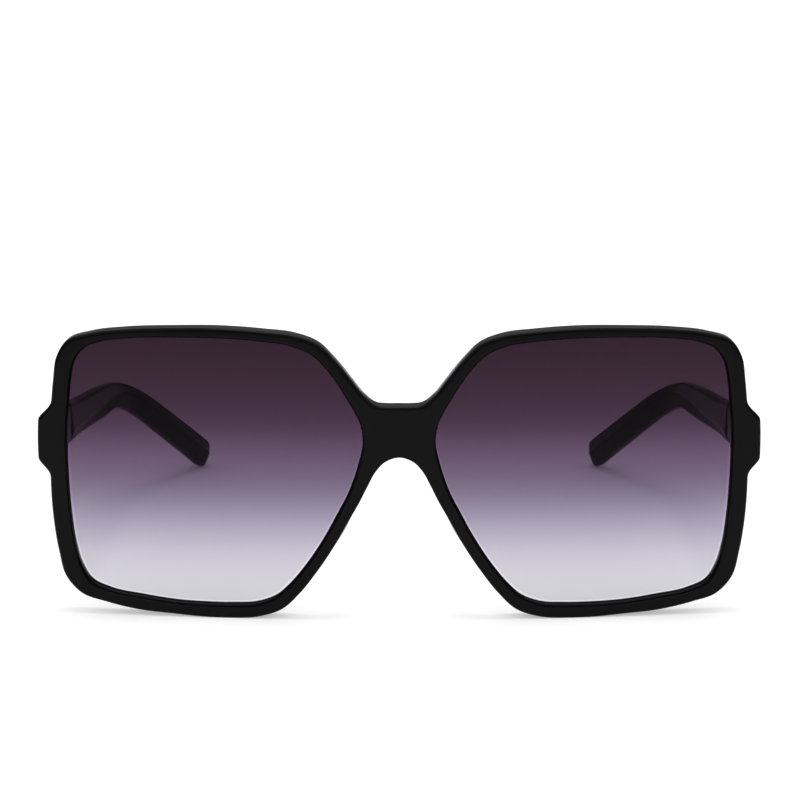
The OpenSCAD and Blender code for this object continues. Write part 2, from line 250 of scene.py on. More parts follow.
def shade(piece: bpy.types.Object, sharp_deg: float) -> None:
    """Shades a piece smooth, apart from edges that turn more than sharp_deg."""
    piece.data.shade_smooth()
    piece.data.set_sharp_from_angle(angle=math.radians(sharp_deg))


# ---- finishes ----


class Desk:
    """Lays out the nodes of one material or world."""

    def __init__(self, owner: bpy.types.Material | bpy.types.World) -> None:
        """Clears the owner's nodes.

        Args:
            owner: The material or world.
        """
        owner.use_nodes = True
        self.owner, self.tree = owner, owner.node_tree
        self.tree.nodes.clear()

    def node(
        self, kind: str, sockets: dict[str | int, object] | None = None, **values: object
    ) -> bpy.types.Node:
        """Makes a node.

        Args:
            kind: Its type, without the prefix that all of them share.
            sockets: What goes in, by the input's name or number: an output is linked, a value set.
            values: Values of its own properties, by name.

        Returns:
            The node.
        """
        made = self.tree.nodes.new(f"ShaderNode{kind}")
        for key, value in values.items():
            setattr(made, key, value)
        for key, value in (sockets or {}).items():
            if isinstance(value, Socket):
                self.tree.links.new(value, made.inputs[key])
            else:
                made.inputs[key].default_value = value
        return made

    def finish(self, shader: bpy.types.Node, output: str = "OutputMaterial") -> bpy.types.ID:
        """Joins the shader to the output and hands the owner over."""
        self.node(output, {"Surface": shader.outputs[0]})
        return self.owner

    def place(self) -> Socket:
        """Place on the piece, in metres."""
        return self.node("TexCoord").outputs["Object"]

    def noise(self, place: Socket, waves: float, detail: float) -> Socket:
        """Soft noise mostly within NOISE_SPAN, of so many waves in a metre."""
        sockets = {"Vector": place, "Scale": waves, "Detail": detail}
        return self.node("TexNoise", sockets).outputs["Fac"]

    def remap(self, value: Socket, before: Span, after: Span, **values: object) -> Socket:
        """Turns the range before into the range after."""
        sockets = dict(zip(RANGE_SOCKETS, (value, *before, *after)))
        return self.node("MapRange", sockets, **values).outputs["Result"]

    def blend(self, first: Colour, second: Colour, noise: Socket) -> Socket:
        """Mixes two colours by a noise."""
        sockets = {"A": first, "B": second, "Factor": self.remap(noise, NOISE_SPAN, (0, 1))}
        return self.node("Mix", sockets, data_type="RGBA").outputs["Result"]

    def highest(self, first: Socket, second: Socket) -> Socket:
        """The greater of two values."""
        return self.node("Math", {0: first, 1: second}, operation="MAXIMUM").outputs[0]

    def bump(self, height: Socket, depth_mm: float) -> Socket:
        """A bumped normal, from a height that stands for depth_mm at 1."""
        sockets = {"Height": height, "Strength": 1.0, "Distance": depth_mm * MM}
        return self.node("Bump", sockets).outputs["Normal"]


@dataclass(frozen=True)
class PolishedPlastic:
    """Injection-moulded black plastic, tumbled to a soft gloss. Waves are counted in a metre."""

    colour: Colour = (0.0022, 0.0022, 0.0026, 1.0)
    worn: Colour = (0.0038, 0.0038, 0.0044, 1.0)
    cloud_waves: float = 45.0
    shine: float = 0.08
    polish: Span = (0.16, 0.24)
    grain_waves: float = 1400.0
    ripple_waves: float = 260.0
    ripple_mm: float = 0.004

    def make(self) -> bpy.types.Material:
        """A clouded black, with uneven polish and faint ripples from the tumbling.

        Returns:
            The material.
        """
        desk = Desk(bpy.data.materials.new("polished_plastic"))
        place = desk.place()
        clouds = desk.noise(place, self.cloud_waves, detail=3)
        grain = desk.noise(place, self.grain_waves, detail=2)
        ripples = desk.noise(place, self.ripple_waves, detail=2)
        return desk.finish(desk.node("BsdfPrincipled", {
            "Base Color": desk.blend(self.colour, self.worn, clouds),
            "Roughness": desk.remap(grain, NOISE_SPAN, self.polish),
            "Normal": desk.bump(ripples, self.ripple_mm),
            "Specular IOR Level": self.shine,
        }))


@dataclass(frozen=True)
class GradientTint:
    """Polycarbonate, dyed by dipping: dark plum at the top, fading to pale grey at the bottom.

    Each stop is a height above the ground in millimetres and the share of red, green and blue
    light that passes the lens.
    """

    stops: tuple[tuple[float, float, float, float], ...] = (
        (6, 0.61, 0.61, 0.64), (12, 0.55, 0.53, 0.61), (16.5, 0.43, 0.405, 0.49),
        (20.5, 0.335, 0.295, 0.39), (24.7, 0.225, 0.185, 0.265), (29, 0.148, 0.114, 0.175),
        (33, 0.123, 0.084, 0.14), (37.3, 0.088, 0.053, 0.096), (41.5, 0.054, 0.028, 0.054),
        (46, 0.041, 0.021, 0.039), (54, 0.029, 0.013, 0.025), (59, 0.025, 0.011, 0.021),
    )
    # Painted glint: the extra share of light that passes in the band beside the rim.
    glint_gain: float = 0.2
    ior: float = 1.16
    gloss: float = 0.03

    def passed(self, desk: Desk) -> Socket:
        """Light that one face lets through, a little more beside the rim as a painted glint.

        Light crosses both faces of a lens, so each takes the square root of the tint.

        Args:
            desk: Where the nodes go.

        Returns:
            The colour that passes.
        """
        low, high = self.stops[0][0], self.stops[-1][0]
        height = desk.node("SeparateXYZ", {0: desk.place()}).outputs["Z"]
        ramp = desk.node("ValToRGB", {"Fac": desk.remap(height, (low * MM, high * MM), (0, 1))})
        ramp.color_ramp.interpolation = "B_SPLINE"
        bands = ramp.color_ramp.elements
        while len(bands) < len(self.stops):
            bands.new(0.5)
        for band, (z, *light) in zip(bands, self.stops):
            band.position = (z - low) / (high - low)
            band.color = (*np.sqrt(light), 1)
        # Painted glint: more light passes in the marked band beside the rim.
        edge = desk.node("Attribute", attribute_name=GLINT_BAND).outputs["Fac"]
        glint_scale = desk.node("Math", {0: edge, 1: self.glint_gain, 2: 1.0}, operation="MULTIPLY_ADD")
        lit = {0: ramp.outputs["Color"], "Scale": glint_scale.outputs[0]}
        return desk.node("VectorMath", lit, operation="SCALE").outputs[0]

    def make(self) -> bpy.types.Material:
        """Tinted clear faces, with a faint mirror that grows at a glancing view.

        Returns:
            The material.
        """
        desk = Desk(bpy.data.materials.new("gradient_tint"))
        clear = desk.node("BsdfTransparent", {"Color": self.passed(desk)})
        mirror = desk.node("BsdfGlossy", {"Roughness": self.gloss})
        glance = desk.node("Fresnel", {"IOR": self.ior})
        parts = {i: part.outputs[0] for i, part in enumerate((glance, clear, mirror))}
        return desk.finish(desk.node("MixShader", parts))


@dataclass(frozen=True)
class SatinSteel:
    """Darkened steel with fine drawn lines along the barrels. Waves are counted in a metre."""

    colour: Colour = (0.15, 0.15, 0.155, 1.0)
    shade: Colour = (0.09, 0.09, 0.095, 1.0)
    line_waves: float = 5200.0
    line_squeeze: tuple[float, float, float] = (1.0, 1.0, 0.06)
    line_mm: float = 0.003
    polish: Span = (0.24, 0.4)

    def make(self) -> bpy.types.Material:
        """Noise stretched along Z gives the lines, in tone, polish and height.

        Returns:
            The material.
        """
        desk = Desk(bpy.data.materials.new("satin_steel"))
        stretch = desk.node("Mapping", {"Vector": desk.place(), "Scale": self.line_squeeze})
        lines = desk.noise(stretch.outputs["Vector"], self.line_waves, detail=3)
        return desk.finish(desk.node("BsdfPrincipled", {
            "Base Color": desk.blend(self.colour, self.shade, lines),
            "Roughness": desk.remap(lines, NOISE_SPAN, self.polish),
            "Normal": desk.bump(lines, self.line_mm),
            "Metallic": 1.0,
        }))


@dataclass(frozen=True)
class WhitePaper:
    """A white seamless floor, which looks white and keeps the object's shadow."""

    colour: Colour = (0.9, 0.9, 0.9, 1.0)
    lift: float = 0.42

    def make(self) -> bpy.types.Material:
        """Matt paper, with a faint lift of its own for sight, reflections and what is seen through.

        Returns:
            The material.
        """
        desk = Desk(bpy.data.materials.new("white_paper"))
        paper = desk.node("BsdfDiffuse", {"Color": self.colour})
        ray = desk.node("LightPath").outputs
        seen = desk.highest(ray["Is Camera Ray"], ray["Is Glossy Ray"])
        seen = desk.highest(seen, ray["Is Transmission Ray"])
        lift = desk.node("Math", {0: seen, 1: self.lift}, operation="MULTIPLY")
        glow = desk.node("Emission", {"Strength": lift.outputs[0]})
        return desk.finish(desk.node("AddShader", {0: paper.outputs[0], 1: glow.outputs[0]}))


# ---- the front and what it holds ----


@dataclass(frozen=True)
class Sizes:
    """Sizes that the pieces share, in millimetres.

    front_y is the Y of the foremost point of the front's sphere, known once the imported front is.
    """

    front_y: float = 0.0
    lens_w: float = 61.6
    lens_h: float = 56.25
    lens_t: float = 2.0
    lens_clear: float = 0.08
    front_r: float = 450.0
    bridge_gap: float = 14.6
    bridge_h: float = 10.4
    rim_top_w: float = 2.3
    rim_bottom_w: float = 2.75
    rim_side_w: float = 3.6
    rim_nose_w: float = 2.8
    front_lip_t: float = 1.6
    back_lip_t: float = 0.9
    groove_d: float = 0.9
    back_lip_step: float = 0.5
    bevel_w: float = 0.9
    rim_round: float = 0.65
    lip_round: float = 0.2
    rest_dip: float = 0.12
    pad_d: float = 3.2
    pad_lean: float = 0.9
    lug_h: float = 12.2
    lug_out: float = 2.5
    lug_draft: float = 0.7
    lug_depth: float = 6.5
    lug_over: float = 1.0
    shoulder_h: float = 4.4
    shoulder_power: float = 1.3
    hinge_z: float = 37.5
    side_step: float = 0.8
    temple_root_t: float = 3.8
    axis_inset: float = 0.5
    butt_gap: float = 0.3
    barrel_d: float = 2.6
    barrel_free: float = 0.35
    barrel_h: float = 7.0
    screw_head_h: float = 0.6
    leaf_t: float = 1.0
    leaf_clear: float = 0.05
    front_leaf_len: float = 2.5
    temple_leaf_len: float = 9.0

    @property
    def half_gap(self) -> float:
        """Half the gap between the two openings."""
        return self.bridge_gap / 2

    @property
    def mid_lens_x(self) -> float:
        """X of an opening's middle."""
        return self.half_gap + self.lens_w / 2

    @property
    def half_w(self) -> float:
        """Half the front's width over its end pieces."""
        return self.half_gap + self.lens_w + self.rim_side_w + self.lug_out

    @property
    def slot_t(self) -> float:
        """Width of the lens groove."""
        return self.lens_t + 2 * self.lens_clear

    @property
    def rim_depth(self) -> float:
        """Depth of the plain rim."""
        return self.front_lip_t + self.slot_t + self.back_lip_t

    @property
    def mid_z(self) -> float:
        """Height of the front's middle."""
        return (self.rim_bottom_w + self.lens_h + self.rim_top_w) / 2

    def sphere_y(self, x: np.ndarray, z: np.ndarray) -> np.ndarray:
        """Y of the front's sphere: front_y + R - sqrt(R^2 - x^2 - (z - middle)^2)."""
        depth = self.front_r - np.sqrt(self.front_r**2 - x**2 - (z - self.mid_z) ** 2)
        return self.front_y + depth

    @property
    def butt_y(self) -> float:
        """Y of the end pieces' square ends."""
        return float(self.sphere_y(self.half_w, self.hinge_z)) + self.lug_depth

    @property
    def axis(self) -> tuple[float, float]:
        """X and Y of the hinge axis on the left side."""
        temple_in = self.half_w - self.side_step - self.temple_root_t
        return temple_in + self.axis_inset, self.butt_y + self.butt_gap / 2

    @property
    def free_r(self) -> float:
        """Radius of the free space round a barrel."""
        return self.barrel_d / 2 + self.barrel_free


@dataclass
class RimShape:
    """The outlines of half the front: the lens opening and the outer edge, as shares of the sizes.

    Each row is a place on the opening, as shares of its width and height, and the outer point
    beside it. A rim row gives how far that point is from its place on the opening, as shares of
    the rim's widths. An arch or notch row gives how far it is from the bridge's middle, as shares
    of half the bridge's width and height.
    """

    sizes: Sizes
    steps: int = 8
    bridge_mid_share: float = 0.668
    pad_shares: tuple[float, float] = (0.16, 0.47)
    pad_reach_share: float = 0.5
    seam_shares: tuple[float, float] = (0.005, 0.657)
    arch_shares: tuple[tuple[float, ...], ...] = (
        (0.004, 0.616, 0, -1.05), (0.009, 0.584, 0.41, -1.25), (0.017, 0.55, 0.67, -1.65),
    )
    rim_shares: tuple[tuple[float, ...], ...] = (
        (0.033, 0.491, -1.06, -0.5), (0.056, 0.427, -0.96, -0.44), (0.088, 0.359, -0.9, -0.45),
        (0.127, 0.279, -0.88, -0.45), (0.199, 0.156, -0.85, -0.5), (0.255, 0.081, -0.8, -0.66),
        (0.302, 0.034, -0.6, -0.9), (0.36, 0.008, -0.21, -0.97), (0.45, 0, 0, -1),
        (0.54, 0, 0, -0.96), (0.645, 0.006, 0.05, -0.9), (0.758, 0.023, 0.11, -1.03),
        (0.867, 0.045, 0.2, -0.97), (0.927, 0.076, 0.65, -0.96), (0.956, 0.13, 1, -0.83),
        (0.976, 0.212, 1.06, -0.43), (0.988, 0.32, 1.11, -0.07), (0.994, 0.42, 1.09, 0),
        (0.996, 0.482, 1.06, 0), (0.997, 0.545, 1.04, 0), (0.997, 0.616, 1.04, 0),
        (0.994, 0.687, 1.04, 0), (0.988, 0.75, 1.04, 0), (0.979, 0.84, 1.04, 0),
        (0.963, 0.912, 1.09, 0.3),
        (0.932, 0.957, 1.02, 0.67), (0.88, 0.981, 0.56, 0.82), (0.782, 0.997, 0.22, 0.86),
        (0.628, 1.003, 0.05, 0.92), (0.466, 1.002, 0, 0.98), (0.336, 0.992, -0.07, 1),
        (0.239, 0.976, -0.37, 1.03), (0.172, 0.945, -0.47, 1.06), (0.121, 0.89, -0.7, 0.84),
        (0.08, 0.828, -1.01, 0.53),
    )
    notch_shares: tuple[tuple[float, ...], ...] = (
        (0.054, 0.78, 0.96, 1.4), (0.036, 0.748, 0.64, 1.06),
        (0.025, 0.725, 0.32, 1.01), (0.015, 0.702, 0, 1.01),
    )

    def opening_at(self, shares: np.ndarray) -> np.ndarray:
        """Points of the opening from shares of its width and height."""
        s = self.sizes
        return np.array([s.half_gap, s.rim_bottom_w]) + shares * np.array([s.lens_w, s.lens_h])

    def bridge_points(self, rows: tuple[tuple[float, ...], ...]) -> np.ndarray:
        """Outer points of arch or notch rows.

        Args:
            rows: The rows.

        Returns:
            The points.
        """
        s = self.sizes
        bridge_z = s.rim_bottom_w + self.bridge_mid_share * s.lens_h
        return np.array(rows)[:, 2:] * np.array([s.half_gap, s.bridge_h / 2]) + [0, bridge_z]

    def rim_points(self) -> np.ndarray:
        """Outer points of the rim's rows.

        Returns:
            The points.
        """
        s, rows = self.sizes, np.array(self.rim_shares)
        wide = np.where(rows[:, 2] < 0, s.rim_nose_w, s.rim_side_w)
        high = np.where(rows[:, 3] < 0, s.rim_bottom_w, s.rim_top_w)
        return self.opening_at(rows[:, :2]) + rows[:, 2:] * np.stack([wide, high], axis=1)

    @cached_property
    def outer_knots(self) -> np.ndarray:
        """Knots of the outer edge, from the arch under the bridge round to the notch above it."""
        arch, notch = self.bridge_points(self.arch_shares), self.bridge_points(self.notch_shares)
        return np.vstack([arch, self.rim_points(), notch])

    @cached_property
    def opening(self) -> np.ndarray:
        """Points of the lens opening, all the way round.

        Returns:
            One row a point.
        """
        rows = np.array([*self.arch_shares, *self.rim_shares, *self.notch_shares])[:, :2]
        knots = self.opening_at(np.vstack([rows, self.seam_shares]))
        return smooth_curve(knots, self.steps, closed=True)

    @cached_property
    def opening_out(self) -> np.ndarray:
        """Outward normal at each point of the opening."""
        t = np.roll(self.opening, -1, axis=0) - np.roll(self.opening, 1, axis=0)
        return unit(np.stack([t[:, 1], -t[:, 0]], axis=1))

    @property
    def outer_count(self) -> int:
        """Stations that have a point of the outer edge; the rest cross the bridge's middle."""
        return (len(self.outer_knots) - 1) * self.steps + 1

    def lug_swell(self, p: np.ndarray) -> np.ndarray:
        """Share of the end piece: a smooth step up and one down, to shoulder_power.

        Args:
            p: Outer points.

        Returns:
            The share at each point, from 0 to 1.
        """
        s = self.sizes
        low, high, half = s.hinge_z - s.lug_h / 2, s.hinge_z + s.lug_h / 2, s.shoulder_h / 2
        z = p[:, 1]
        rise = ease(low - half, low + half, z) * (1 - ease(high - half, high + half, z))
        return np.where(p[:, 0] < s.mid_lens_x, 0, rise**s.shoulder_power)

    def pad_swell(self, p: np.ndarray) -> np.ndarray:
        """Share of the moulded nose pad: sin^2 over its stretch of the nose side.

        Args:
            p: Outer points.

        Returns:
            The share at each point, from 0 to 1.
        """
        s = self.sizes
        low, high = self.pad_shares
        t = np.clip((p[:, 1] / s.lens_h - low) / (high - low), 0, 1)
        near = p[:, 0] <= s.half_gap + self.pad_reach_share * s.lens_w
        return np.where(near, np.sin(math.pi * t) ** 2, 0)

    @cached_property
    def outer(self) -> np.ndarray:
        """The outer edge: the smooth line, the end piece's swell and the flat that it rests on.

        Returns:
            One row a point.
        """
        s = self.sizes
        knots, flip = self.outer_knots, np.array([-1, 1])
        ends = knots[1] * flip, knots[-2] * flip
        line = smooth_curve(np.vstack([ends[0], knots, ends[1]]), self.steps, closed=False)
        line = line + np.stack([s.lug_out * self.lug_swell(line), np.zeros(len(line))], axis=1)
        line[:, 1] -= s.rest_dip * (1 - ease(0, s.rim_bottom_w, line[:, 1]))
        return line


@dataclass
class Front:
    """The moulded front: two rims, bridge, end pieces and nose pads in one piece."""

    sizes: Sizes
    shape: RimShape
    round_points: int = 7
    lip_points: int = 4
    back_points: int = 7
    face_shares: tuple[float, ...] = (0.25, 0.5, 0.75)
    bevel_profile: tuple[tuple[float, float], ...] = (
        (0.62, 0.0), (0.55, 0.012), (0.48, 0.045), (0.42, 0.1),
        (0.15, 0.4), (0.05, 0.55), (0.0, 0.7), (0.0, 1.0),
    )
    sharp_deg: float = 34.0

    def edge_stations(self) -> tuple[np.ndarray, np.ndarray]:
        """Outer points beside the opening's points, and the inward normals there.

        The stations past the outer edge's end cross the bridge's middle in a straight line.

        Returns:
            The points and the normals, each shaped (stations, 2), the normals 0 across the middle.
        """
        line, first = self.shape.outer, self.shape.outer_count
        count = len(self.shape.opening)
        f = (np.arange(first, count) - first + 1)[:, None] / (count - first + 1)
        points = np.vstack([line, line[-1] * (1 - f) + line[0] * f])
        t = line[2:] - line[:-2]
        inward = unit(np.stack([-t[:, 1], t[:, 0]], axis=1))
        return points, np.vstack([[[0, 1]], inward, [[0, -1]], np.zeros((count - first, 2))])

    def section_rows(self, o: np.ndarray) -> list[Row]:
        """Rows of the section: w, a, b and the depth of section_grid, in order round the section.

        They run over the outer round, the face, the narrow bevel, the lens groove, the back lip,
        the back and its outer round. The end pieces and the nose pads stand out at the back.

        Args:
            o: Points of the outer edge, one a station.

        Returns:
            The rows. In each, a and the depth have one value a station.
        """
        s, shape = self.sizes, self.shape
        lug = shape.lug_swell(o)
        pad = np.where(np.arange(len(o)) < shape.outer_count, shape.pad_swell(o), 0)
        back = s.rim_depth + lug * (s.lug_depth + s.lug_over - s.rim_depth) + pad * s.pad_d
        lean = s.lug_draft * lug - s.pad_lean * pad
        flat = np.zeros(len(o))
        turn_in, turn_down = quarter(s.rim_round, self.round_points)
        rows: list[Row] = [(0, a + flat, 0, d + flat) for a, d in zip(turn_in, turn_down)]
        bevel = [(b * s.bevel_w, d * s.front_lip_t) for b, d in self.bevel_profile]
        rows += [(w, s.rim_round + flat, bevel[0][0], flat) for w in self.face_shares]
        rows += [(1, flat, b, d + flat) for b, d in bevel]
        slot_back = s.front_lip_t + s.slot_t
        rows += [(1, flat, s.groove_d, d + flat) for d in (s.front_lip_t, slot_back)]
        rows += [(1, flat, s.back_lip_step, slot_back + flat)]
        lip_in, lip_down = quarter(s.lip_round, self.lip_points)
        for b, d in zip(lip_in, lip_down):
            rows.append((1, flat, s.back_lip_step + b, s.rim_depth - d + flat))
        lip_edge = s.back_lip_step + s.lip_round
        for w in np.linspace(1, 0, self.back_points)[1:-1]:
            depth = s.rim_depth + (back - s.rim_depth) * (1 - w)
            rows.append((w, s.rim_round + lean, lip_edge, depth))
        return rows + [(0, a + lean, 0, back - d) for a, d in zip(turn_in[::-1], turn_down[::-1])]

    def section_grid(self) -> np.ndarray:
        """Points of half the front: the rim's section, carried round the opening.

        A point is (1 - w)(o + a n) + w (p + b q), set back by a depth behind the front's sphere,
        where o is the outer edge with its inward normal n, and p the opening with its outward
        normal q. w, a, b and the depth run along the section.

        Returns:
            Points shaped (stations, points of a section, 3).
        """
        s = self.sizes
        p, q = self.shape.opening, self.shape.opening_out
        o, n = self.edge_stations()
        rows = self.section_rows(o)
        w = np.array([r[0] for r in rows], float)[None, :, None]
        a = np.stack([r[1] for r in rows], axis=1)[:, :, None]
        b = np.array([r[2] for r in rows], float)[None, :, None]
        depth = np.stack([r[3] for r in rows], axis=1)
        xz = (1 - w) * (o[:, None] + a * n[:, None]) + w * (p[:, None] + b * q[:, None])
        y = s.sphere_y(xz[..., 0], xz[..., 1]) + depth
        y = np.where(xz[..., 0] > s.mid_lens_x, np.minimum(y, s.butt_y), y)
        return np.stack([xz[..., 0], y, np.maximum(xz[..., 1], 0)], axis=-1)

    def hinge_cuts(self, side: Side) -> list[Box]:
        """Boxes to cut for one hinge: the place of its barrels, and the leaf's slot.

        Args:
            side: The hinge's side.

        Returns:
            The boxes.
        """
        s = self.sizes
        axis_x, axis_y = s.axis
        leaf_x = axis_x - s.leaf_t / 2
        x = sorted((side.value * s.mid_lens_x, side.value * (axis_x + s.free_r)))
        leaf_in, leaf_out = leaf_x - s.leaf_clear, leaf_x + s.leaf_t + s.leaf_clear
        slot = sorted((side.value * leaf_in, side.value * leaf_out))
        y = axis_y - s.free_r
        half_h = s.barrel_h / 2 + s.leaf_clear
        return [
            ((x[0], y, s.hinge_z - s.lug_h), (x[1], y + s.lug_depth, s.hinge_z + s.lug_h)),
            (
                (slot[0], y - s.front_leaf_len - s.leaf_clear, s.hinge_z - half_h),
                (slot[1], y + s.lug_over, s.hinge_z + half_h),
            ),
        ]

    def build(self) -> bpy.types.Object:
        """Joins the two halves at the bridge's middle and cuts the places of the hinges.

        The halves' faces in the plane between them would lie inside, and are left out.

        Returns:
            The front.
        """
        grid = self.section_grid()
        stations, wide = grid.shape[:2]
        cells = ring_quads(stations, wide)
        i, j = np.arange(stations)[:, None], np.arange(wide)[None, :]
        in_plane = (j < self.round_points - 1) | (j >= wide - self.round_points)
        kept = cells[~((i >= self.shape.outer_count - 1) & in_plane)]
        half = grid.reshape(-1, 3)
        both = np.vstack([half, half * np.array([-1, 1, 1])])
        faces = kept.tolist() + (kept[:, ::-1] + len(half)).tolist()
        front = make_piece("moulded_front", both, faces)
        weld(front)
        for side in Side:
            carve(front, self.hinge_cuts(side))
        shade(front, self.sharp_deg)
        return front


@dataclass
class Lens:
    """One lens: a shell between two spheres that fills its opening out into the groove."""

    sizes: Sizes
    shape: RimShape
    side: Side
    rings: int = 40
    ring_power: float = 1.6
    # Width of the band, just inside the rim, over which the painted glint fades in.
    glint_band_mm: float = 0.22
    sharp_deg: float = 40.0

    def sheet(self, middle: np.ndarray, edge: np.ndarray) -> np.ndarray:
        """Points of one face, in rings from the middle out to the edge.

        A point is c + r (e - c), where c is the middle and e the edge. r follows 1 - t^ring_power
        as t falls from 1 to 0, up to the narrow band beside the rim that gets the painted glint,
        and ends in the groove.

        Args:
            middle: The middle, which has no ring.
            edge: The lens's edge.

        Returns:
            X and Z of the points, shaped (rings, points of a ring, 2).
        """
        hidden = self.sizes.groove_d - self.sizes.lens_clear
        reach = np.linalg.norm(edge - middle, axis=1)[None, :]
        band = 1 - (hidden + self.glint_band_mm) / reach
        inner = 1 - np.linspace(1, 0, self.rings)[1:-1, None] ** self.ring_power
        r = np.vstack([inner * band, band, 1 - hidden / reach, np.ones((1, len(edge)))])
        return middle + r[..., None] * (edge - middle)

    def build(self) -> bpy.types.Object:
        """A front face on a sphere, a rear one a lens thickness behind, an edge and two poles.

        Returns:
            The lens.
        """
        s = self.sizes
        edge = self.shape.opening + self.shape.opening_out * (s.groove_d - s.lens_clear)
        middle = edge.mean(axis=0)
        xz = self.sheet(middle, edge)
        behind = s.front_lip_t + s.lens_clear
        y = s.sphere_y(xz[..., 0], xz[..., 1]) + behind
        grid = np.stack([xz[..., 0], y, xz[..., 1]], axis=-1)
        rows, n = grid.shape[:2]
        rear = (grid + np.array([0, s.lens_t, 0]))[::-1]
        pole = np.array([middle[0], s.sphere_y(*middle) + behind, middle[1]])
        poles = [pole, pole + [0, s.lens_t, 0]]
        points = np.vstack([grid.reshape(-1, 3), rear.reshape(-1, 3), poles])
        faces = ring_quads(2 * rows, n, closed_rows=False).reshape(-1, 4).tolist()
        j, end = np.arange(n), 2 * rows * n
        k, last = (j + 1) % n, end - n
        faces += np.stack([np.full(n, end), j, k], axis=1).tolist()
        faces += np.stack([np.full(n, end + 1), last + k, last + j], axis=1).tolist()
        mirror = np.array([self.side.value, 1, 1])
        lens = make_piece(f"{self.side.word}_lens", points * mirror, faces)
        weld(lens)
        # The rings at the rim and in the groove, on both faces, carry the painted glint.
        glint_mask = np.zeros((2 * rows, n))
        glint_mask[rows - 2 : rows + 2] = 1
        self.mark_glint(lens, np.append(glint_mask.ravel(), [0, 0]))
        shade(lens, self.sharp_deg)
        return lens

    def mark_glint(self, lens: bpy.types.Object, values: np.ndarray) -> None:
        """Stores on each vertex whether it is in the band beside the rim that gets the painted
        glint.
        """
        mark = lens.data.attributes.new(GLINT_BAND, "FLOAT", "POINT")
        mark.data.foreach_set("value", values.astype(np.float32))


